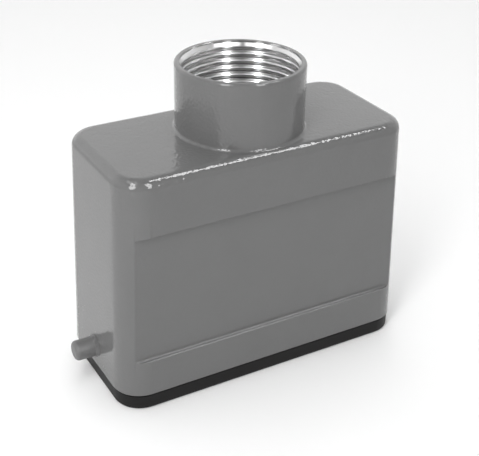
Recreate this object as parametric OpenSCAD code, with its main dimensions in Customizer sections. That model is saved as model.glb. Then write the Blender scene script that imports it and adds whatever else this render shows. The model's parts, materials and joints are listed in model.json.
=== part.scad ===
// Rectangular power connector, cable side: a die-cast hood with a top cable entry and two locking pegs,
// its rim seal, and the ten-pole male contact insert that it carries.
// X runs along the long side, Z points up to the cable entry, and Z = 0 is the underside of the seal.

/* [Hood] */
// Length of the hood at its rim
hood_len = 62; // [54:0.5:80]
// Depth of the hood at its rim
hood_dep = 28; // [25.5:0.5:36]
// Height of the hood from its rim to its top face
hood_h = 43.4; // [40:0.1:60]
// Thickness of the cast walls and of the top
wall = 2.5; // [2.3:0.1:3]
// Lean of the narrow end walls, in degrees
end_draft = 2; // [1:0.25:2.5]
// Lean of the long side walls, in degrees
side_draft = 0.5; // [0.25:0.25:0.75]
// Radius of the upright corners
corner_r = 5.5; // [4.9:0.2:6.3]
// Radius of the edge round the top face
top_r = 2; // [1:0.1:2.2]

/* [Side panels] */
// Height of the lower ledge above the rim
panel_up = 7.3; // [6:0.1:9]
// Height of the sunk panel
panel_h = 25.3; // [15:0.1:28]
// Depth of the panel below the wall round it
panel_deep = 0.9; // [0.6:0.1:1.1]
// Radius of the ledges' edges
panel_r = 0.35; // [0.2:0.05:0.45]

/* [Cable entry] */
// Outer diameter of the collar
collar_d = 24; // [24:0.1:25]
// Height of the collar above the top face
collar_h = 12.6; // [12:0.1:18]
// Major diameter of the entry thread
entry_d = 22.5; // [22:0.1:22.7]
// Depth of the threaded part
entry_deep = 12.5; // [10:0.5:13]
// Diameter of the plain passage below the thread
passage_d = 20; // [18:0.5:20.5]
// Width of the lead-in chamfer at the mouth
lead_in = 0.1; // [0.05:0.05:0.1]
// Radius of the collar's upper edge
rim_r = 0.5; // [0.2:0.05:0.5]
// Radius of the fillet at the collar's foot
foot_r = 0.6; // [0.4:0.1:1]

/* [Locking pegs] */
// Diameter of a peg's straight part
peg_d = 3.9; // [3.4:0.1:4.2]
// Length of a peg beyond the end wall
peg_len = 4.4; // [3.6:0.2:6]
// Height of the pegs' axis above the rim
peg_up = 4; // [3.6:0.1:5]
// Diameter of a peg's root, where it meets the wall
root_d = 4.5; // [4.4:0.1:5]
// Length of the tapered root
root_len = 0.9; // [0.6:0.1:1.2]
// Radius of the tip's edge
tip_r = 0.8; // [0.4:0.1:1]

/* [Rim seal] */
// Thickness of the seal below the rim
seal_h = 3.3; // [2:0.1:4]
// Distance from the rim's outline in to the seal's
seal_inset = 0.2; // [0.1:0.1:0.5]
// Width of the seal's foot
seal_w = 3.2; // [2.8:0.1:3.6]
// Radius of the foot's lower edges
seal_r = 0.6; // [0.3:0.1:0.8]
// Height of the step under the rim, where the seal stands back
step_h = 0.4; // [0.2:0.1:0.8]
// Depth of that step
step_in = 0.5; // [0.2:0.1:0.9]
// Thickness of the lip that stands in the rim
lip_w = 1; // [0.8:0.1:1.1]
// Height of the lip
lip_h = 2.6; // [2:0.2:3.4]

/* [Insert] */
// Distance from a row of contacts to the upper block's side
row_edge = 5.7; // [5.6:0.1:5.9]
// Length at each end of the insert that holds no contact
blank_end = 1.5; // [1:0.1:3]
// Gap between the insert's upper block and the hood's long walls
insert_gap = 1.2; // [1:0.1:1.4]
// Distance from an end of the insert to the fixing screws there
end_gap = 3.25; // [3.2:0.05:3.4]
// Step from the upper block in to the lower block, on the mating side
nose_step = 1.7; // [1.5:0.1:2.3]
// Height of the lower block, from the mating face to the fixing plane
nose_h = 5.5; // [5:0.25:6.5]
// Height of the upper block above the fixing plane
head_h = 12; // [11:0.5:14]
// Height of the fixing plane above the hood's rim
deck_up = 18; // [17:0.5:20]

/* [Contacts] */
// Diameter of a contact pin
pin_d = 2.5; // [2:0.1:2.8]
// Length of a pin beyond the mating face
pin_out = 9.5; // [8:0.5:10]
// Diameter of the contact's shank, pressed into the moulding
shank_d = 3.1; // [3:0.1:3.4]
// Width of a terminal block along the row
block_w = 4.2; // [4:0.1:4.4]
// Depth of a terminal block across the row
block_dep = 5.6; // [5.4:0.1:5.8]
// Diameter of the hole for a wire
wire_d = 3.2; // [2.6:0.1:3.2]
// Depth of the hole for a wire
wire_deep = 8; // [6:0.5:9]
// Radial play between a metal piece and the moulding or thread that holds it
play = 0.05; // [0.02:0.01:0.08]

/* [Screws] */
// Distance from the fixing screws to the hood's narrow end, at the rim
fix_end = 6.25; // [6:0.05:6.3]
// Distance from the fixing screws to the hood's long side, at the rim
fix_side = 6; // [5.8:0.1:6.1]
// Diameter of the fixing screws and terminal screws
screw_d = 2.9; // [2.5:0.1:3]
// Diameter of a fixing screw's head
fix_head_d = 5.4; // [5:0.1:5.5]
// Height of a fixing screw's head
fix_head_h = 2.2; // [1.8:0.1:2.4]
// Length of a fixing screw above the fixing plane
fix_bite = 7; // [5:0.5:9]
// Diameter of a terminal screw's head
term_head_d = 4.2; // [3.8:0.1:4.4]
// Diameter of a ground screw
ground_d = 3.9; // [3.4:0.1:4]
// Diameter of a ground screw's head
ground_head_d = 6.6; // [6:0.1:7]
// Thickness of the lock washers
washer_h = 0.6; // [0.4:0.1:0.8]

/* [Ground brackets] */
// Thickness of the bracket's sheet
sheet = 1.2; // [1:0.1:1.4]
// Gap between the bracket and the hood's long walls
bracket_gap = 0.8; // [0.6:0.1:1]
// Width of the ground blade
blade_w = 4.4; // [3.5:0.1:5]
// Length of the ground blade below the bracket
blade_out = 11; // [9:0.5:12]
// Gap between the upright tab and the ribs beside it
tab_gap = 0.6; // [0.5:0.1:0.9]
// Height of the upright tab above the fixing plane
tab_h = 9.4; // [8.8:0.2:11]

/* [Hidden] */
// Contacts in each of the two rows, each a node of its own
poles = 5;
POLES = [for (i = [1 : 2 * poles]) i];
CONTACTS = ["contact_01", "contact_02", "contact_03", "contact_04", "contact_05",
            "contact_06", "contact_07", "contact_08", "contact_09", "contact_10"];
TERMINALS = ["terminal_screw_01", "terminal_screw_02", "terminal_screw_03", "terminal_screw_04",
             "terminal_screw_05", "terminal_screw_06", "terminal_screw_07", "terminal_screw_08",
             "terminal_screw_09", "terminal_screw_10"];
FIXINGS = ["fixing_screw_01", "fixing_screw_02", "fixing_screw_03", "fixing_screw_04"];
WASHERS = ["lock_washer_01", "lock_washer_02", "lock_washer_03", "lock_washer_04"];
GROUNDS = ["ground_bracket_left", "ground_bracket_right", "ground_clamp_left", "ground_clamp_right",
           "ground_screw_left", "ground_screw_right"];

$fn = 48;
// Overshoot of a cut past the face that it opens
over = 1;
// How far an added rib runs into the wall that carries it
root = 0.1;

// Heights, from the seal's underside up
rim_z = seal_h;
top_z = rim_z + hood_h;
ceiling_z = top_z - wall;
mouth_z = top_z + collar_h;
entry_low = mouth_z - entry_deep;
peg_z = rim_z + peg_up;
deck_z = rim_z + deck_up;
face_z = deck_z - nose_h;
head_z = deck_z + head_h;
pin_z = face_z - pin_out;

// Half sizes of the hood at a height above the rim
function half_len(h) = hood_len / 2 - tan(end_draft) * h;
function half_dep(h) = hood_dep / 2 - tan(side_draft) * h;

// Seat for the seal's lip, cut into the rim
seat_deep = lip_w + play;
seat_len = hood_len - 2 * (wall - seat_deep);
seat_dep = hood_dep - 2 * (wall - seat_deep);
seat_r = corner_r - (wall - seat_deep);

// Thread, boss and screw radii
thread_r = screw_d / 2 + play;
boss_r = fix_head_d / 2 + 0.3;
tap_deep = fix_bite + 2;

// The fixing screws follow the hood, the insert follows them, and the contacts follow the insert
fix_x = hood_len - 2 * fix_end;
fix_y = hood_dep - 2 * fix_side;
insert_len = fix_x - 2 * end_gap;
head_dep = hood_dep - 2 * (wall + insert_gap);
nose_dep = head_dep - 2 * nose_step;
pitch = (insert_len - 2 * blank_end) / poles;
row_gap = head_dep - 2 * row_edge;
bracket_w = hood_dep - 2 * (wall + bracket_gap);
tab_w = fix_y - 2 * (boss_r + tab_gap);

// The terminal block stands on the chamber's floor, and its outer part holds the screw
block_z = deck_z - 2;
block_h = head_z - block_z - 0.8;
block_in = block_w / 2;
term_z = block_z + block_h - wire_deep / 2 - 0.5;
wire_r = wire_d / 2;
window_d = term_head_d + 0.4;
term_head_h = 1.8;

// The bracket's plate slides into a slot in the insert's end, and its tab stands against that end
slot_deep = 2;
tab_x = insert_len / 2 + 0.1;
// Its outer corners are rounded to clear the hood's corners
plate_r = corner_r - wall - 0.4;
clamp_h = 1;
ground_z = deck_z + tab_h - ground_head_d / 2 - 1.2;
ground_head_h = 2.2;
ground_tail = 2;
blade_x = tab_x + 1.6;

module round_rect(len, dep, r) {
    square([len, dep - 2 * r], center = true);
    square([len - 2 * r, dep], center = true);
    for (sx = [-1, 1], sy = [-1, 1])
        translate([sx * (len / 2 - r), sy * (dep / 2 - r)]) circle(r);
}

// The corner piece that a fillet of radius r fills, with its square corner at the origin
module fillet_2d(r) {
    difference() {
        square(r);
        translate([r, r]) circle(r);
    }
}

// Sweeps a profile round a rounded rectangle. The profile's X is the distance from the corner's axis.
module swept_frame(len, dep, r) {
    for (sx = [0, 1], sy = [0, 1])
        mirror([sx, 0, 0]) mirror([0, sy, 0])
            translate([len / 2 - r, dep / 2 - r, 0]) rotate_extrude(angle = 90) children();
    for (s = [0, 1]) {
        mirror([0, s, 0]) translate([r - len / 2, dep / 2 - r, 0])
            rotate([90, 0, 90]) linear_extrude(len - 2 * r) children();
        mirror([s, 0, 0]) translate([len / 2 - r, dep / 2 - r, 0])
            rotate([90, 0, 0]) linear_extrude(dep - 2 * r) children();
    }
}

// The hood's outside: four leaning corners with a ball edge round the top
module outer_shell() {
    lean = 0.2;
    h = hood_h - top_r;
    hull() for (sx = [-1, 1], sy = [-1, 1]) {
        translate([sx * (half_len(0) - corner_r), sy * (half_dep(0) - corner_r), rim_z])
            cylinder(h = 1, r1 = corner_r, r2 = corner_r - lean, $fn = 40);
        translate([sx * (half_len(h) - corner_r), sy * (half_dep(h) - corner_r), top_z - top_r])
            rotate_extrude($fn = 40) translate([corner_r - top_r, 0]) circle(top_r, $fn = 32);
    }
}

module cavity() {
    lean = 0.2;
    r = corner_r - wall;
    h = ceiling_z - rim_z;
    hull() for (sx = [-1, 1], sy = [-1, 1]) {
        translate([sx * (half_len(0) - wall - r), sy * (half_dep(0) - wall - r), rim_z])
            cylinder(h = 1, r1 = r, r2 = r - lean, $fn = 32);
        translate([sx * (half_len(h) - wall - r), sy * (half_dep(h) - wall - r), ceiling_z - 1])
            cylinder(h = 1, r1 = r - lean, r2 = r, $fn = 32);
    }
}

module seal_seat() {
    translate([0, 0, rim_z - over]) linear_extrude(over + lip_h + play) round_rect(seat_len, seat_dep, seat_r);
}

// A sunk panel runs the whole length of a long wall and out through both corners. The rounding of its
// ledges starts just proud of the wall, so that it meets the wall at a slight angle.
module panel_cut() {
    long = hood_len + 2 * over;
    proud = 0.02;
    translate([-long / 2, hood_dep / 2, rim_z]) rotate([side_draft, 0, 0]) rotate([90, 0, 90])
        linear_extrude(long) translate([0, panel_up]) {
            difference() {
                translate([-panel_deep, 0]) square([panel_deep + over, panel_h]);
                translate([-panel_deep, 0]) fillet_2d(panel_r);
                translate([-panel_deep, panel_h]) mirror([0, 1]) fillet_2d(panel_r);
            }
            translate([proud, 0]) mirror([1, 0]) mirror([0, 1]) fillet_2d(panel_r);
            translate([proud, panel_h]) mirror([1, 0]) fillet_2d(panel_r);
        }
}

// Ribs that carry the insert's four fixing screws, run into the corners of the cavity
module bosses() {
    reach_x = hood_len / 2 - wall + root;
    reach_y = hood_dep / 2 - wall + root;
    tall = ceiling_z + root - deck_z;
    for (sx = [0, 1], sy = [0, 1]) mirror([sx, 0, 0]) mirror([0, sy, 0]) translate([0, 0, deck_z]) {
        translate([fix_x / 2, fix_y / 2, 0]) cylinder(h = tall, r = boss_r);
        translate([fix_x / 2, fix_y / 2 - boss_r, 0]) cube([reach_x - fix_x / 2, 2 * boss_r, tall]);
        translate([fix_x / 2 - boss_r, fix_y / 2, 0]) cube([2 * boss_r, reach_y - fix_y / 2, tall]);
    }
}

module boss_holes() {
    for (sx = [-1, 1], sy = [-1, 1])
        translate([sx * fix_x / 2, sy * fix_y / 2, deck_z - over]) cylinder(h = tap_deep + over, r = thread_r);
}

module collar() {
    r = collar_d / 2;
    sunk = wall / 2;
    translate([0, 0, top_z]) rotate_extrude($fn = 96) {
        difference() {
            translate([0, -sunk]) square([r, collar_h + sunk]);
            translate([r, collar_h]) mirror([1, 0]) mirror([0, 1]) fillet_2d(rim_r);
        }
        translate([r, 0]) fillet_2d(foot_r);
        translate([r - root, -sunk]) square([foot_r + root, sunk]);
    }
}

module cable_bore() {
    translate([0, 0, ceiling_z - over]) cylinder(h = entry_low - ceiling_z + 2 * over, d = passage_d, $fn = 96);
    translate([0, 0, entry_low]) cylinder(h = entry_deep + over, d = entry_d, $fn = 96);
    translate([0, 0, mouth_z - lead_in])
        cylinder(h = lead_in + over, d1 = entry_d, d2 = entry_d + 2 * (lead_in + over), $fn = 96);
}

// A peg's outline: tapered root, straight part, rounded tip
module peg_outline() {
    difference() {
        union() {
            square([peg_d / 2, peg_len]);
            polygon([[0, -wall / 2], [root_d / 2, -wall / 2], [root_d / 2, 0], [peg_d / 2, root_len], [0, root_len]]);
        }
        translate([peg_d / 2, peg_len]) mirror([1, 0]) mirror([0, 1]) fillet_2d(tip_r);
    }
}

module pegs() {
    for (s = [0, 1]) mirror([s, 0, 0])
        translate([half_len(peg_up), 0, peg_z]) rotate([0, 90, 0]) rotate_extrude() peg_outline();
}

module hood() {
    color("dimgray") difference() {
        union() {
            difference() {
                union() {
                    outer_shell();
                    pegs();
                }
                cavity();
                seal_seat();
            }
            collar();
            bosses();
        }
        cable_bore();
        boss_holes();
        for (s = [0, 1]) mirror([0, s, 0]) panel_cut();
    }
}

module rim_seal() {
    len = hood_len - 2 * seal_inset;
    dep = hood_dep - 2 * seal_inset;
    r = corner_r - seal_inset;
    lip_out = r - (wall - seat_deep - seal_inset) - play;
    color("black") swept_frame(len, dep, r) {
        difference() {
            translate([r - seal_w, 0]) square([seal_w, seal_h]);
            translate([r, 0]) mirror([1, 0]) fillet_2d(seal_r);
            translate([r - seal_w, 0]) fillet_2d(seal_r);
            translate([r - step_in, seal_h - step_h]) square([step_in + over, step_h + over]);
        }
        translate([lip_out - lip_w, seal_h - root]) square([lip_w, lip_h + root]);
    }
}

// Places its children at one pole, with +Y pointing out of the insert's side
module at_pole(i) {
    row = i <= poles ? 0 : 1;
    step = (i - 1) % poles - (poles - 1) / 2;
    mirror([0, row, 0]) translate([step * pitch, row_gap / 2, 0]) children();
}

module insert_body() {
    chamber_w = block_w + 2 * play;
    chamber_dep = block_dep + 2 * play;
    color("silver") difference() {
        union() {
            translate([-insert_len / 2, -nose_dep / 2, face_z]) cube([insert_len, nose_dep, nose_h]);
            translate([-insert_len / 2, -head_dep / 2, deck_z]) cube([insert_len, head_dep, head_h]);
        }
        for (i = POLES) at_pole(i) {
            translate([0, 0, face_z - over]) cylinder(h = nose_h + over, d = shank_d + 2 * play);
            translate([-chamber_w / 2, -block_in - play, block_z]) cube([chamber_w, chamber_dep, block_h + over]);
            translate([0, block_dep - block_in, term_z]) rotate([-90, 0, 0]) cylinder(h = head_dep, d = window_d);
        }
        for (s = [0, 1]) mirror([s, 0, 0]) {
            translate([insert_len / 2 - slot_deep - play, -head_dep / 2 - over, deck_z - sheet - play])
                cube([slot_deep + play + over, head_dep + 2 * over, sheet + 2 * play]);
            translate([insert_len / 2 - ground_tail - 0.5, 0, ground_z]) rotate([0, 90, 0])
                cylinder(h = ground_tail + over, d = ground_d + 0.8);
        }
    }
}

module contact(i) {
    color("goldenrod") at_pole(i) difference() {
        union() {
            translate([0, 0, pin_z]) rotate_extrude() difference() {
                square([pin_d / 2, pin_out + root]);
                translate([pin_d / 2, 0]) mirror([1, 0]) fillet_2d(pin_d / 4);
            }
            translate([0, 0, face_z]) cylinder(h = block_z - face_z + root, d = shank_d);
            translate([-block_w / 2, -block_in, block_z]) cube([block_w, block_dep, block_h]);
        }
        translate([0, 0, block_z + block_h - wire_deep]) cylinder(h = wire_deep + over, d = wire_d);
        translate([0, 0, term_z]) rotate([-90, 0, 0]) cylinder(h = block_dep, r = thread_r);
    }
}

// A slotted screw along +Z: shank below zero, head above
module slotted_screw(d, long, head_d, head_h) {
    slot_w = head_d / 6;
    translate([0, 0, -long]) cylinder(h = long + root, d = d);
    difference() {
        cylinder(h = head_h, d = head_d);
        translate([-head_d, -slot_w / 2, head_h * 0.55]) cube([2 * head_d, slot_w, head_h]);
    }
}

module terminal_screw(i) {
    grip = block_dep - block_in - wire_r - 0.1;
    color("lightgray") at_pole(i)
        translate([0, block_dep - block_in, term_z]) rotate([-90, 0, 0])
            slotted_screw(screw_d, grip, term_head_d, term_head_h);
}

// One folded sheet: plate in the insert's slot, blade down, tab up
module ground_bracket(s) {
    plate_x = insert_len / 2 - slot_deep;
    plate_end = fix_x / 2 + fix_head_d / 2 - 0.4;
    color("gainsboro") mirror([s, 0, 0]) difference() {
        union() {
            translate([0, 0, deck_z - sheet]) linear_extrude(sheet) difference() {
                translate([plate_x, -bracket_w / 2]) square([plate_end - plate_x, bracket_w]);
                for (sy = [0, 1]) mirror([0, sy])
                    translate([plate_end, bracket_w / 2]) mirror([1, 0]) mirror([0, 1]) fillet_2d(plate_r);
            }
            translate([tab_x, -tab_w / 2, deck_z - sheet]) cube([sheet, tab_w, tab_h + sheet]);
            translate([blade_x, -blade_w / 2, deck_z - sheet - blade_out])
                cube([sheet, blade_w, blade_out + sheet]);
        }
        for (sy = [-1, 1])
            translate([fix_x / 2, sy * fix_y / 2, deck_z - sheet - over])
                cylinder(h = sheet + 2 * over, d = screw_d + 4 * play);
        translate([tab_x - over, 0, ground_z]) rotate([0, 90, 0])
            cylinder(h = sheet + 2 * over, d = ground_d + 2 * play);
    }
}

module ground_clamp(s) {
    side = ground_head_d + 0.8;
    color("gainsboro") mirror([s, 0, 0]) translate([tab_x + sheet, 0, ground_z]) difference() {
        translate([0, -side / 2, -side / 2]) cube([clamp_h, side, side]);
        translate([-over, 0, 0]) rotate([0, 90, 0]) cylinder(h = clamp_h + 2 * over, d = ground_d + 4 * play);
    }
}

module ground_screw(s) {
    color("lightgray") mirror([s, 0, 0])
        translate([tab_x + sheet + clamp_h, 0, ground_z]) rotate([0, 90, 0])
            slotted_screw(ground_d, clamp_h + sheet + ground_tail, ground_head_d, ground_head_h);
}

// Places its children under one fixing hole, on the bracket's lower face
module at_fixing(i) {
    sx = i % 2 == 1 ? -1 : 1;
    sy = i <= 2 ? -1 : 1;
    translate([sx * fix_x / 2, sy * fix_y / 2, deck_z - sheet]) children();
}

module fixing_screw(i) {
    color("lightgray") at_fixing(i) translate([0, 0, -washer_h]) mirror([0, 0, 1])
        slotted_screw(screw_d, washer_h + sheet + fix_bite, fix_head_d, fix_head_h);
}

module lock_washer(i) {
    color("lightgray") at_fixing(i) translate([0, 0, -washer_h]) difference() {
        cylinder(h = washer_h, d = fix_head_d);
        translate([0, 0, -over]) cylinder(h = washer_h + 2 * over, d = screw_d + 2 * play);
    }
}

hood();
rim_seal();
insert_body();
for (i = POLES) {
    contact(i);
    terminal_screw(i);
}
ground_bracket(1);  // ground_bracket_left
ground_bracket(0);  // ground_bracket_right
ground_clamp(1);  // ground_clamp_left
ground_clamp(0);  // ground_clamp_right
ground_screw(1);  // ground_screw_left
ground_screw(0);  // ground_screw_right
for (i = [1 : 4]) {
    fixing_screw(i);
    lock_washer(i);
}
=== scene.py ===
# %% [markdown]
# # A rectangular power connector in Blender
# The real object is a die-cast metal hood about 62 mm long. It has a threaded cable entry on top, a locking
# peg at each end, a black seal round its open side, and a ten-pole contact insert inside. Every solid comes
# from the CAD frame at its real size, so this lesson is about what makes those solids look real: smooth
# skins, paint, bare metal, rubber, light, and the one shape that the solids leave out, the entry thread.

# %% Frame and measures
import bpy
import json
import math
from mathutils import Matrix, Vector


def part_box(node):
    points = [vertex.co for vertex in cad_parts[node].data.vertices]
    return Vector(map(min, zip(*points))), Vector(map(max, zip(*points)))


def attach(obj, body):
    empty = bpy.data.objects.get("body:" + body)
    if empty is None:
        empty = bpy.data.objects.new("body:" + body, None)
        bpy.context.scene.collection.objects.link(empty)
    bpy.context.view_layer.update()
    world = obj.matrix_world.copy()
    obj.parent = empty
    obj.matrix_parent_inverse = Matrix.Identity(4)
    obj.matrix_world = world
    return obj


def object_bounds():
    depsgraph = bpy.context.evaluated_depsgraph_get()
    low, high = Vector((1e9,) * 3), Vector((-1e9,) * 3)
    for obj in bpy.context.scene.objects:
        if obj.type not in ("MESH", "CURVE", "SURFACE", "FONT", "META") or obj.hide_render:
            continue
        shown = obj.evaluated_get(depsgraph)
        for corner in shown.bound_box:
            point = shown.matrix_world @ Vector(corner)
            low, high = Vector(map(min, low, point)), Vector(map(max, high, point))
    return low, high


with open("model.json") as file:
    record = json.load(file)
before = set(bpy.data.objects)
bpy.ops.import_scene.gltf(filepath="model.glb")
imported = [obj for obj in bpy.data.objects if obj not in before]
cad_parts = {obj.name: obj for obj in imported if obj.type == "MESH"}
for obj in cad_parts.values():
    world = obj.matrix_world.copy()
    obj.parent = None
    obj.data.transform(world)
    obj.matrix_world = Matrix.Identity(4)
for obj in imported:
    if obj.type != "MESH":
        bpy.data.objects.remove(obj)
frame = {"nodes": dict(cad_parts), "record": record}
cad_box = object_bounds()
MM = 0.001
print("CAD nodes:", len(frame["nodes"]))
print("CAD box, mm:", [[round(v / MM, 2) for v in corner] for corner in cad_box])

# %% [markdown]
# ## Places read from the frame
# A scene is easiest to keep true if its places are read from the frame and not typed again. The record's
# mount for the cable entry gives the bore's radius, its length and the middle of its wall. The hood's box
# gives the collar's mouth, and the box of the whole part gives the tips of the pegs.

# %% Bore, mouth and pegs
mounts = {m["name"]: m for m in frame["record"]["mounts"]}
entry = mounts["cable_entry"]
bore_r = entry["dims"]["r_mm"] * MM
bore_h = entry["dims"]["length_mm"] * MM
bore_low = entry["pos_m"][2] - bore_h / 2
bore_high = entry["pos_m"][2] + bore_h / 2
mouth_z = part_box("hood")[1].z
peg_long = 4.1 * MM
peg_root = cad_box[1][0] - peg_long
print("bore:", round(2 * bore_r / MM, 2), "mm across, from", round(bore_low / MM, 2), "to",
      round(bore_high / MM, 2), "mouth at", round(mouth_z / MM, 2))

# %% [markdown]
# ## The camera
# The photograph was matched by fitting a camera to points along the hood's edges. A camera looks along its
# own -Z with +Y up, so its turn is built from three directions: right, up and back. The fit gives a camera
# 200 mm away, near enough that the upright edges draw together a little towards the table.

# %% Camera
view_azimuth = math.radians(-30.12)
view_height = math.radians(29.21)
view_roll = math.radians(1.1)
view_distance = 200.38 * MM
aim = Vector((0.33, -0.19, 24.83)) * MM
frame_width_px = 479
focal_px = 1024.5

back = Vector((math.sin(view_azimuth) * math.cos(view_height),
               -math.cos(view_azimuth) * math.cos(view_height),
               math.sin(view_height)))
level = Vector((math.cos(view_azimuth), math.sin(view_azimuth), 0))
upright = back.cross(level)
right = level * math.cos(view_roll) + upright * math.sin(view_roll)
up = upright * math.cos(view_roll) - level * math.sin(view_roll)
turn = Matrix((right, up, back)).transposed().to_4x4()

camera_data = bpy.data.cameras.new("camera")
camera_data.sensor_width = 36
camera_data.lens = focal_px / frame_width_px * camera_data.sensor_width
camera_data.clip_start = 10 * MM
camera = bpy.data.objects.new("camera", camera_data)
camera.matrix_world = Matrix.Translation(aim + back * view_distance) @ turn
bpy.context.scene.collection.objects.link(camera)
bpy.context.scene.camera = camera
print("lens, mm:", round(camera_data.lens, 2))

# %% [markdown]
# ## One helper for every node tree
# Materials, the world and Geometry Nodes are all trees of nodes. One small function is enough for all of
# them. It makes a node, sets its options, and fills each input with either a fixed value or a link. Colours
# are written as sRGB hex, the way a paint chart gives them, and one function turns them to the linear light
# that a shader wants.

# %% Node and colour helpers
def add(tree, kind, inputs=None, **options):
    node = tree.nodes.new(kind)
    for name, value in options.items():
        setattr(node, name, value)
    for socket, value in (inputs or {}).items():
        if isinstance(value, bpy.types.NodeSocket):
            tree.links.new(value, node.inputs[socket])
        else:
            node.inputs[socket].default_value = value
    return node


def linear(hex_colour):
    channels = [int(hex_colour[i:i + 2], 16) / 255 for i in (1, 3, 5)]
    return [c / 12.92 if c <= 0.04045 else ((c + 0.055) / 1.055) ** 2.4 for c in channels] + [1]


# %% [markdown]
# ## The room and the table
# The photograph is a product shot on a white table that is just bright enough to turn pure white, so that
# only the soft shadow in front of the object is grey. Glossy paint and bare metal show what stands round
# them, so the room needs a shape too. It is bright along the horizon and dark overhead, which gives the
# thread its dark and light bands. It is also brighter behind the object than in front, because the flat top
# mirrors what is behind it. In the world's node tree the Generated coordinate is the direction of a ray, so
# both rules are written with it: how steep the ray is, and how far it points to the rear.

# %% Room
scene = bpy.context.scene
scene.view_settings.view_transform = "Standard"
world = bpy.data.worlds.new("photo_room")
scene.world = world
world.use_nodes = True
room = world.node_tree
wall_top = math.sin(math.radians(35))
ceiling_edge = math.sin(math.radians(62))
ceiling_share = 0.2
front_glow = 0.65
rear_glow = 1.45

ray = add(room, "ShaderNodeTexCoord").outputs["Generated"]
steepness = add(room, "ShaderNodeSeparateXYZ", {"Vector": ray}).outputs["Z"]
fade = add(room, "ShaderNodeMapRange",
           {"Value": steepness, "From Min": wall_top, "From Max": ceiling_edge, "To Min": 1.0,
            "To Max": ceiling_share}, interpolation_type="SMOOTHSTEP")
to_rear = add(room, "ShaderNodeVectorMath", {0: ray, 1: (0.05, 1.0, 0.0)}, operation="DOT_PRODUCT")
rear = add(room, "ShaderNodeMapRange",
           {"Value": to_rear.outputs["Value"], "From Min": -1.0, "From Max": 1.0, "To Min": front_glow,
            "To Max": rear_glow})
both = add(room, "ShaderNodeMath", {0: fade.outputs["Result"], 1: rear.outputs["Result"]},
           operation="MULTIPLY")
background = room.nodes["Background"]
room.links.new(both.outputs["Value"], background.inputs["Strength"])
background.inputs["Color"].default_value = linear("#ffffff")
print("room: from", front_glow, "in front to", rear_glow, "behind, times", ceiling_share, "overhead")

# %% Table
floor_half = 1.5
floor_mesh = bpy.data.meshes.new("table")
floor_mesh.from_pydata([(-floor_half, -floor_half, 0), (floor_half, -floor_half, 0),
                        (floor_half, floor_half, 0), (-floor_half, floor_half, 0)], [], [(0, 1, 2, 3)])
table = bpy.data.objects.new("table", floor_mesh)
scene.collection.objects.link(table)

paper = bpy.data.materials.new("matt_white_paper")
paper.use_nodes = True
paper_shader = paper.node_tree.nodes["Principled BSDF"]
paper_shader.inputs["Base Color"].default_value = linear("#fefefe")
paper_shader.inputs["Roughness"].default_value = 0.9
floor_mesh.materials.append(paper)
print("table:", 2 * floor_half, "m wide")


# %% [markdown]
# ## The lights
# A lamp does two jobs: it brightens what it shines on, and glossy surfaces mirror its shape. Ray visibility
# sets the two apart, which makes a photograph much easier to match. Two fills only brighten: one in front on
# the left, so near that its light fades towards the right end, and one high up behind, which leaves the
# soft shadow in front. All other strips are only mirrored. Each lies on a dome round the collar, where the
# law of the mirror puts it: a surface that shows the lamp to the camera faces half way between the two.

# %% A strip light
def place_on_dome(azimuth, height, radius=0.6):
    """Angles in degrees. Azimuth 0 is in front of the object, and a positive one is to the right."""
    a = math.radians(azimuth)
    e = math.radians(height)
    return Vector((math.sin(a) * math.cos(e), -math.cos(a) * math.cos(e), math.sin(e))) * radius


def strip_light(name, start, end, width, glow):
    """A flat light between two places on the dome. A glow of 1 is as bright as white paper."""
    middle = (start + end) / 2
    out = middle.normalized()
    along = (end - start).normalized()
    data = bpy.data.lights.new(name, "AREA")
    data.shape = "RECTANGLE"
    data.size = width
    data.size_y = (end - start).length
    data.energy = glow * math.pi * data.size * data.size_y
    light = bpy.data.objects.new(name, data)
    facing = Matrix((along.cross(out), along, out)).transposed().to_4x4()
    light.matrix_world = Matrix.Translation(middle + Vector((0, 0, bore_high))) @ facing
    scene.collection.objects.link(light)
    return light


# %% Fills that only brighten
near = 0.3
fill_front = strip_light("fill_front", place_on_dome(-52, 12, near), place_on_dome(-52, 62, near),
                         width=0.072, glow=6.8)
fill_top = strip_light("fill_top", place_on_dome(150, 57), place_on_dome(150, 118), width=0.14, glow=3.15)
for fill in (fill_front, fill_top):
    fill.visible_glossy = False
    print(fill.name, "W:", round(fill.data.energy, 3))

# %% [markdown]
# ## Strips that are only mirrored
# The paint's two upright strips leave the pairs of bright spots on the corners and on the collar's foot, and
# the two edge strips draw the line along the top's front edge. The thread has strips of its own, through
# light linking: two narrow ones for its bright columns, and two broad dim ones for the pale rows that its
# crests show beside them. A strip may bend, so each is a list of places, with a flat light between each two.

# %% Mirrored strips
on_paint = bpy.data.collections.new("on_paint")
on_thread = bpy.data.collections.new("on_thread")
mirrored = {"paint_right": (on_paint, 0.13, 12, [(8, 8), (8, 38), (8, 60)]),
            "paint_left": (on_paint, 0.13, 12, [(-55, 8), (-57, 38), (-66, 60)]),
            "edge_right": (on_paint, 0.22, 16, [(54, 60), (88, 63)]),
            "edge_left": (on_paint, 0.22, 3, [(-66, 60), (-95, 66), (-125, 66)]),
            "column_right": (on_thread, 0.09, 26, [(-5, 15), (-1, 40), (5, 58)]),
            "column_left": (on_thread, 0.09, 26, [(-66, 13), (-70, 38), (-80, 56)]),
            "wall_right": (on_thread, 0.22, 2, [(30, 37), (0, 42), (-27, 44)]),
            "wall_left": (on_thread, 0.22, 2, [(-41, 44), (-68, 42), (-98, 35)])}
for name, (seen_by, width, glow, places) in mirrored.items():
    for start, end in zip(places, places[1:]):
        strip = strip_light(name, place_on_dome(*start), place_on_dome(*end), width, glow)
        strip.visible_diffuse = False
        strip.light_linking.receiver_collection = seen_by


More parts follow.
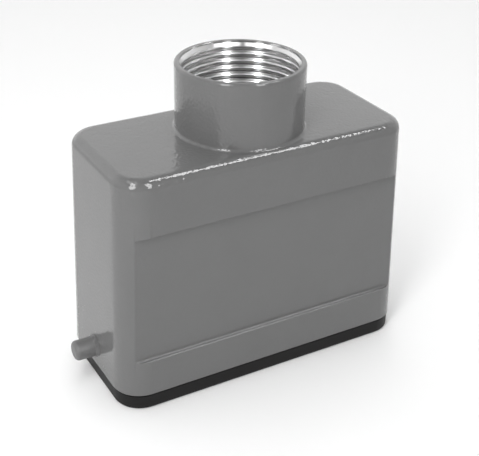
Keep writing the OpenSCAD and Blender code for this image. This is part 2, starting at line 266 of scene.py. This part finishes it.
# %% [markdown]
# ## Powder coat
# The hood is painted with grey polyester powder, which is sprayed on as dust and melted to a thick glossy
# skin. The eye knows it by two things: it mirrors its surroundings clearly, and the mirror image trembles,
# because the melted skin keeps a faint waviness called orange peel. A grain on top of it breaks the
# highlights on sharp edges into sparks. Both are drawn coarser than on a real skin, at 1.4 and 0.5 mm from
# crest to crest, because finer ones are lost at this picture size. The IOR is a little below that of real
# paint, which sets the mirror images as faint as in the photograph. The peg shows no sharp highlight there,
# as if the lever of the other half had rubbed it, so the pegs' paint is matt. The bore was turned after
# painting, so it shows bright metal. One material covers all three, with masks made from places, because
# they are one casting.

# %% Helpers for materials
def start_material(name):
    material = bpy.data.materials.new(name)
    material.use_nodes = True
    tree = material.node_tree
    shader = tree.nodes["Principled BSDF"]
    place = add(tree, "ShaderNodeTexCoord").outputs["Object"]
    return material, tree, shader, place


def specks(tree, place, wide, detail):
    """Noise whose specks are this wide."""
    noise = add(tree, "ShaderNodeTexNoise", {"Vector": place, "Scale": 1 / wide, "Detail": detail})
    return noise.outputs["Fac"]


def relief(tree, height, deep, **under):
    bump = add(tree, "ShaderNodeBump", {"Height": height, "Strength": 1.0, "Distance": deep, **under})
    return bump.outputs["Normal"]


# %% Roughness of the paint
paint_rough = 0.07
rubbed_rough = 0.45
rub_fade = 0.5 * MM


def peg_roughness(tree, parts):
    side = add(tree, "ShaderNodeMath", {0: parts.outputs["X"]}, operation="ABSOLUTE")
    rubbed = add(tree, "ShaderNodeMapRange",
                 {"Value": side.outputs["Value"], "From Min": peg_root, "From Max": peg_root + rub_fade,
                  "To Min": paint_rough, "To Max": rubbed_rough})
    return rubbed.outputs["Result"]


# %% Mask for the turned bore
skin_slack = 0.02 * MM
foot_slack = 0.05 * MM
painted_lip = 0.2 * MM


def turned_mask(tree, parts):
    flat = add(tree, "ShaderNodeCombineXYZ", {"X": parts.outputs["X"], "Y": parts.outputs["Y"]})
    from_axis = add(tree, "ShaderNodeVectorMath", {0: flat.outputs["Vector"]}, operation="LENGTH")
    inside = add(tree, "ShaderNodeMath", {0: from_axis.outputs["Value"], 1: bore_r + skin_slack},
                 operation="LESS_THAN")
    above = add(tree, "ShaderNodeMath", {0: parts.outputs["Z"], 1: bore_low - foot_slack},
                operation="GREATER_THAN")
    below = add(tree, "ShaderNodeMath", {0: parts.outputs["Z"], 1: bore_high - painted_lip},
                operation="LESS_THAN")
    between = add(tree, "ShaderNodeMath", {0: above.outputs["Value"], 1: below.outputs["Value"]},
                  operation="MULTIPLY")
    turned = add(tree, "ShaderNodeMath", {0: inside.outputs["Value"], 1: between.outputs["Value"]},
                 operation="MULTIPLY")
    return turned.outputs["Value"]


# %% Powder coat
peel_wide = 1.4 * MM
peel_deep = 0.022 * MM
grain_wide = 0.5 * MM
grain_deep = 0.045 * MM


def powder_coat():
    material, tree, shader, place = start_material("grey_powder_coat")
    tint = specks(tree, place, 9 * MM, 2.0)
    colour = add(tree, "ShaderNodeMix", {"Factor": tint, "A": linear("#676767"), "B": linear("#6b6b6b")},
                 data_type="RGBA")
    peel = relief(tree, specks(tree, place, peel_wide, 0.0), peel_deep)
    grain = relief(tree, specks(tree, place, grain_wide, 0.0), grain_deep, Normal=peel)
    parts = add(tree, "ShaderNodeSeparateXYZ", {"Vector": place})
    tree.links.new(colour.outputs["Result"], shader.inputs["Base Color"])
    tree.links.new(grain, shader.inputs["Normal"])
    tree.links.new(peg_roughness(tree, parts), shader.inputs["Roughness"])
    shader.inputs["IOR"].default_value = 1.43
    bare = add(tree, "ShaderNodeBsdfPrincipled", {"Base Color": linear("#c5c5c5"), "Metallic": 1.0,
                                                  "Roughness": 0.22})
    casting = add(tree, "ShaderNodeMixShader", {0: turned_mask(tree, parts), 1: shader.outputs["BSDF"],
                                                2: bare.outputs["BSDF"]})
    tree.links.new(casting.outputs["Shader"], tree.nodes["Material Output"].inputs["Surface"])
    return material


# %% [markdown]
# ## Turned metal
# A thread cut in a zinc or aluminium casting is bare and bright, and the tool leaves fine rings round the
# bore. Rings round an axis are a noise pattern whose specks are drawn out until they lie as level lines: it
# keeps its scale along Z and is stretched along X and Y. The real rings are some hundredths of a millimetre
# apart, too fine for the render, so these are drawn coarser, at 0.1 mm. Rings also smear each highlight
# across themselves, up and down the bore, so that the lamps' images run together into columns. A second,
# anisotropic shader adds that smear. Its highlight stretches along the tangent, which runs round the axis,
# so the tangent is turned a quarter.

# %% Turned metal
ring_wide = 0.1 * MM
smear_share = 0.33
quarter_turn = 0.25


def turned_metal():
    material, tree, shader, place = start_material("machined_casting_metal")
    bright = linear("#d0d0d0")
    drawn_out = add(tree, "ShaderNodeMapping", {"Vector": place, "Scale": (0.06, 0.06, 1.0)})
    rings = specks(tree, drawn_out.outputs["Vector"], ring_wide, 1.0)
    shine = add(tree, "ShaderNodeMapRange", {"Value": rings, "To Min": 0.08, "To Max": 0.2})
    tree.links.new(shine.outputs["Result"], shader.inputs["Roughness"])
    tree.links.new(relief(tree, rings, 0.003 * MM), shader.inputs["Normal"])
    shader.inputs["Base Color"].default_value = bright
    shader.inputs["Metallic"].default_value = 1.0
    round_axis = add(tree, "ShaderNodeTangent", direction_type="RADIAL", axis="Z")
    smear = add(tree, "ShaderNodeBsdfPrincipled",
                {"Base Color": bright, "Metallic": 1.0, "Roughness": 0.3, "Anisotropic": 1.0,
                 "Anisotropic Rotation": quarter_turn, "Tangent": round_axis.outputs["Tangent"]})
    mixed = add(tree, "ShaderNodeMixShader", {0: smear_share, 1: shader.outputs["BSDF"],
                                              2: smear.outputs["BSDF"]})
    tree.links.new(mixed.outputs["Shader"], tree.nodes["Material Output"].inputs["Surface"])
    return material


# %% [markdown]
# ## Rubber, moulding and plated metal
# The seal is moulded nitrile rubber: nearly black, with a satin sheen and a fine matt texture from the
# mould. The insert is glass-filled polycarbonate, light grey and a little glossy. Its contacts are
# silver-plated brass, a warm and clear mirror. Its screws and brackets are zinc-plated steel, which has a
# bluish, slightly cloudy shine. Two functions make all four, because moulded skins differ only in colour,
# gloss and grit, and plated ones only in colour and in how cloudy they are.

# %% Moulded skins
def moulded(name, dark, light, roughness, gloss, grit_mm, depth_mm):
    material, tree, shader, place = start_material(name)
    cloud = specks(tree, place, 4 * MM, 2.0)
    grit = specks(tree, place, grit_mm * MM, 1.0)
    colour = add(tree, "ShaderNodeMix", {"Factor": cloud, "A": linear(dark), "B": linear(light)},
                 data_type="RGBA")
    tree.links.new(colour.outputs["Result"], shader.inputs["Base Color"])
    tree.links.new(relief(tree, grit, depth_mm * MM), shader.inputs["Normal"])
    shader.inputs["Roughness"].default_value = roughness
    shader.inputs["Specular IOR Level"].default_value = gloss
    return material


# %% Plated skins
def plated(name, colour_hex, low, high):
    material, tree, shader, place = start_material(name)
    cloud = specks(tree, place, 1.5 * MM, 3.0)
    shine = add(tree, "ShaderNodeMapRange", {"Value": cloud, "To Min": low, "To Max": high})
    tree.links.new(shine.outputs["Result"], shader.inputs["Roughness"])
    tree.links.new(relief(tree, cloud, 0.004 * MM), shader.inputs["Normal"])
    shader.inputs["Base Color"].default_value = linear(colour_hex)
    shader.inputs["Metallic"].default_value = 1.0
    return material


# %% All finishes
finishes = {
    "paint": powder_coat(),
    "seal_rubber": moulded("nitrile_rubber", "#131212", "#171616", 0.5, 0.2, 0.3, 0.006),
    "moulding": moulded("grey_polycarbonate", "#c2c3c0", "#c8c9c6", 0.4, 0.5, 0.25, 0.003),
    "plated_brass": plated("silver_plated_brass", "#dcd8cc", 0.16, 0.3),
    "plated_steel": plated("zinc_plated_steel", "#bfc4ca", 0.25, 0.45),
}
thread_metal = turned_metal()
print("finishes:", sorted(m.name for m in finishes.values()))

# %% [markdown]
# ## Smooth skins on the solids
# A CAD mesh arrives as loose triangles, so every one of them would show as a facet in glossy paint. A
# Geometry Nodes tree mends that without moving a point: it merges the corners that coincide, shades all
# faces smooth, and marks as sharp each edge that bends by more than a set angle. The Weighted Normal
# modifier after it turns the normals of the large flat faces true, so that only the roundings between them
# look curved.

# %% Smooth skin tree
def smooth_skin_tree():
    tree = bpy.data.node_groups.new("smooth_skin", "GeometryNodeTree")
    tree.interface.new_socket("Geometry", in_out="INPUT", socket_type="NodeSocketGeometry")
    merge = tree.interface.new_socket("Merge Distance", in_out="INPUT", socket_type="NodeSocketFloat")
    crease = tree.interface.new_socket("Sharp Angle", in_out="INPUT", socket_type="NodeSocketFloat")
    tree.interface.new_socket("Geometry", in_out="OUTPUT", socket_type="NodeSocketGeometry")
    inputs = add(tree, "NodeGroupInput")
    whole = add(tree, "GeometryNodeMergeByDistance", {"Geometry": inputs.outputs["Geometry"],
                                                      "Distance": inputs.outputs["Merge Distance"]})
    smooth = add(tree, "GeometryNodeSetShadeSmooth", {"Geometry": whole.outputs["Geometry"],
                                                      "Shade Smooth": True}, domain="FACE")
    bend = add(tree, "GeometryNodeInputMeshEdgeAngle")
    sharp = add(tree, "FunctionNodeCompare", {"A": bend.outputs["Unsigned Angle"],
                                              "B": inputs.outputs["Sharp Angle"]},
                data_type="FLOAT", operation="GREATER_THAN")
    creased = add(tree, "GeometryNodeSetShadeSmooth",
                  {"Geometry": smooth.outputs["Geometry"], "Selection": sharp.outputs["Result"],
                   "Shade Smooth": False}, domain="EDGE")
    add(tree, "NodeGroupOutput", {"Geometry": creased.outputs["Geometry"]})
    return tree, merge.identifier, crease.identifier


# %% Smooth skin on a piece
skin_tree, merge_input, crease_input = smooth_skin_tree()
weld_gap = 0.0005 * MM


def smooth_skin(piece, angle=32):
    skin = piece.modifiers.new("smooth_skin", "NODES")
    skin.node_group = skin_tree
    skin[merge_input] = weld_gap
    skin[crease_input] = math.radians(angle)
    weight = piece.modifiers.new("true_flats", "WEIGHTED_NORMAL")
    weight.keep_sharp = True
    weight.weight = 100


# %% Dress the CAD nodes
slot_of = {s["node"]: s["material_slot"] for s in frame["record"]["subparts"]}
for name, piece in frame["nodes"].items():
    piece.data.materials.clear()
    piece.data.materials.append(finishes[slot_of[name]])
    smooth_skin(piece)
print("dressed:", len(slot_of), "nodes")

# %% [markdown]
# ## The entry thread
# A cable gland screws into the entry, on an old conduit thread with 18 turns to the inch, so each turn rises
# 1.411 mm. A thread is one ridge with sloping flanks, wound round the bore's wall as a helix, and that is
# just how it is made here: a spiral curve carries the ridge's profile, with its foot sunk a little into the
# wall. Modelling the turns, and not painting them, pays off, because each flank mirrors the room at its own
# slant. The photograph shows thin pale rows between dark flanks, which a sharp crest can't give, so the
# crests are drawn rounder and broader than the standard has them. The helix is longer than the bore. The
# last step cuts it to length, by pressing flat what is too high or too low.

# %% Thread sizes
pitch = 1.411 * MM
flank_slope = math.radians(40)
ridge_h = 0.62 * MM
crest_w = 0.45 * MM
crest_round = 0.45 * MM
sunk = 0.2 * MM
foot_r = bore_r + sunk
foot_w = crest_w + 2 * math.tan(flank_slope) * (ridge_h + sunk)
turns = math.ceil(bore_h / pitch) + 2
start_below = 1.23 * MM
thread_low = bore_low - start_below
print("thread:", turns, "turns, ridge", round(ridge_h / MM, 3), "mm high, foot", round(foot_w / MM, 3),
      "mm wide")


# %% Ridge on a helix
def wound_ridge(tree, sizes):
    height = add(tree, "ShaderNodeMath", {0: sizes["Pitch"], 1: sizes["Turns"]}, operation="MULTIPLY")
    half = add(tree, "ShaderNodeMath", {0: sizes["Ridge Depth"], 1: 0.5}, operation="MULTIPLY")
    radius = add(tree, "ShaderNodeMath", {0: sizes["Foot Radius"], 1: half.outputs["Value"]},
                 operation="SUBTRACT")
    helix = add(tree, "GeometryNodeCurveSpiral",
                {"Resolution": 90, "Rotations": sizes["Turns"], "Start Radius": radius.outputs["Value"],
                 "End Radius": radius.outputs["Value"], "Height": height.outputs["Value"]})
    level_helix = add(tree, "GeometryNodeSetCurveNormal", {"Curve": helix.outputs["Curve"]}, mode="Z_UP")
    profile = add(tree, "GeometryNodeCurvePrimitiveQuadrilateral",
                  {"Height": sizes["Ridge Depth"], "Bottom Width": sizes["Foot Width"],
                   "Top Width": sizes["Crest Width"], "Offset": 0.0}, mode="TRAPEZOID")
    rounded = add(tree, "GeometryNodeFilletCurve",
                  {"Curve": profile.outputs["Curve"], "Count": 4, "Radius": sizes["Crest Round"],
                   "Limit Radius": True}, mode="POLY")
    fine = add(tree, "GeometryNodeSubdivideCurve", {"Curve": rounded.outputs["Curve"], "Cuts": 1})
    inward = add(tree, "GeometryNodeTransform", {"Geometry": fine.outputs["Curve"],
                                                 "Rotation": (0.0, 0.0, math.radians(-90))})
    ridge = add(tree, "GeometryNodeCurveToMesh",
                {"Curve": level_helix.outputs["Curve"], "Profile Curve": inward.outputs["Geometry"],
                 "Fill Caps": True})
    lift = add(tree, "ShaderNodeCombineXYZ", {"Z": sizes["Low End"]})
    return add(tree, "GeometryNodeTransform", {"Geometry": ridge.outputs["Mesh"],
                                               "Translation": lift.outputs["Vector"]})


# %% Thread tree
def thread_tree():
    tree = bpy.data.node_groups.new("entry_thread", "GeometryNodeTree")
    sockets = {}
    for name in ("Pitch", "Turns", "Foot Radius", "Ridge Depth", "Foot Width", "Crest Width", "Crest Round",
                 "Low End", "Floor", "Ceiling"):
        socket = tree.interface.new_socket(name, in_out="INPUT", socket_type="NodeSocketFloat")
        sockets[name] = socket.identifier
    metal = tree.interface.new_socket("Metal", in_out="INPUT", socket_type="NodeSocketMaterial")
    tree.interface.new_socket("Geometry", in_out="OUTPUT", socket_type="NodeSocketGeometry")
    sizes = add(tree, "NodeGroupInput").outputs
    ridge = wound_ridge(tree, sizes)
    position = add(tree, "GeometryNodeInputPosition")
    point = add(tree, "ShaderNodeSeparateXYZ", {"Vector": position.outputs["Position"]})
    kept_in = add(tree, "ShaderNodeClamp", {"Value": point.outputs["Z"], "Min": sizes["Floor"],
                                            "Max": sizes["Ceiling"]})
    pressed = add(tree, "ShaderNodeCombineXYZ", {"X": point.outputs["X"], "Y": point.outputs["Y"],
                                                 "Z": kept_in.outputs["Result"]})
    cut = add(tree, "GeometryNodeSetPosition", {"Geometry": ridge.outputs["Geometry"],
                                                "Position": pressed.outputs["Vector"]})
    real = add(tree, "GeometryNodeRealizeInstances", {"Geometry": cut.outputs["Geometry"]})
    dressed = add(tree, "GeometryNodeSetMaterial", {"Geometry": real.outputs["Geometry"],
                                                    "Material": sizes["Metal"]})
    add(tree, "NodeGroupOutput", {"Geometry": dressed.outputs["Geometry"]})
    return tree, sockets, metal.identifier


# %% [markdown]
# ## The land at the mouth
# Above the first turn the tool has left a smooth ring, called a land: a cone that leads the gland in, a
# short upright wall, and on top the flat end of the collar, which is painted like the rest. A turned piece
# is made here as a lathe makes it: an outline of radii and heights goes round the axis. Its top lies a hair
# below the solid's, and its back is sunk into the wall, so that the two skins never fight. Faces that look
# straight up get the paint, and all others stay bare.

# %% A turned ring
def turned_ring(name, outline, steps=180):
    """A closed outline of (radius, height) points, anticlockwise with the axis on its left."""
    count = len(outline)
    points = []
    for i in range(steps):
        a = math.tau * i / steps
        points += [(r * math.cos(a), r * math.sin(a), z) for r, z in outline]
    faces = []
    for i in range(steps):
        here = i * count
        there = (i + 1) % steps * count
        for j in range(count):
            after = (j + 1) % count
            faces.append((here + j, there + j, there + after, here + after))
    mesh = bpy.data.meshes.new(name)
    mesh.from_pydata(points, [], faces)
    return mesh


# %% Land sizes
hair = 0.03 * MM
cone_wide = 0.42 * MM
cone_high = 0.6 * MM
wall_high = 0.42 * MM
foot_high = 0.05 * MM
land_top = mouth_z - hair
land_in = bore_r - ridge_h - hair
land_mouth = land_in + cone_wide
land_step = land_top - wall_high
land_low = land_step - cone_high
land_root = land_low - (ridge_h + sunk) * math.tan(flank_slope)
print("land, mm:", round(2 * land_in / MM, 2), "across, from", round(land_low / MM, 2), "to",
      round(land_top / MM, 2))

# %% Land
land_mesh = turned_ring("entry_land", [(foot_r, land_top), (land_mouth, land_top), (land_mouth, land_step),
                                       (land_in, land_low), (land_in, land_low - foot_high),
                                       (foot_r, land_root)])
land_mesh.materials.append(thread_metal)
land_mesh.materials.append(finishes["paint"])
for face in land_mesh.polygons:
    face.material_index = int(face.normal.z > 0.9)
land = bpy.data.objects.new("entry_land", land_mesh)
scene.collection.objects.link(land)
smooth_skin(land)
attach(land, "root")
print("painted faces:", sum(face.material_index for face in land_mesh.polygons))

# %% Thread piece
tree, sockets, metal_socket = thread_tree()
holder = bpy.data.objects.new("thread_maker", bpy.data.meshes.new("thread_maker"))
scene.collection.objects.link(holder)
maker = holder.modifiers.new("thread", "NODES")
maker.node_group = tree
sizes = {"Pitch": pitch, "Turns": turns, "Foot Radius": foot_r, "Ridge Depth": ridge_h + sunk,
         "Foot Width": foot_w, "Crest Width": crest_w, "Crest Round": crest_round, "Low End": thread_low,
         "Floor": bore_low + skin_slack, "Ceiling": land_low}
for name, value in sizes.items():
    maker[sockets[name]] = float(value)
maker[metal_socket] = thread_metal
depsgraph = bpy.context.evaluated_depsgraph_get()
thread_mesh = bpy.data.meshes.new_from_object(holder.evaluated_get(depsgraph))
bpy.data.objects.remove(holder)
thread = bpy.data.objects.new("entry_thread", thread_mesh)
scene.collection.objects.link(thread)
smooth_skin(thread, angle=50)
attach(thread, "root")
reach = [math.hypot(v.co.x, v.co.y) / MM for v in thread_mesh.vertices]
levels = [v.co.z / MM for v in thread_mesh.vertices]
print("thread, mm: radius", round(min(reach), 3), "to", round(max(reach), 3), "z", round(min(levels), 2),
      "to", round(max(levels), 2), "faces", len(thread_mesh.polygons))

# %% [markdown]
# ## Sharing out the mirrored strips
# A light that is linked to a collection shines only on what is in it. The thread's strips are linked to a
# collection that holds the thread and the land. The paint's strips should reach all the rest, so their
# collection holds the same two pieces, marked as left out.

# %% Light linking
for piece in (land, thread):
    on_thread.objects.link(piece)
    on_paint.objects.link(piece)
for item in on_paint.collection_objects:
    item.light_linking.link_state = "EXCLUDE"
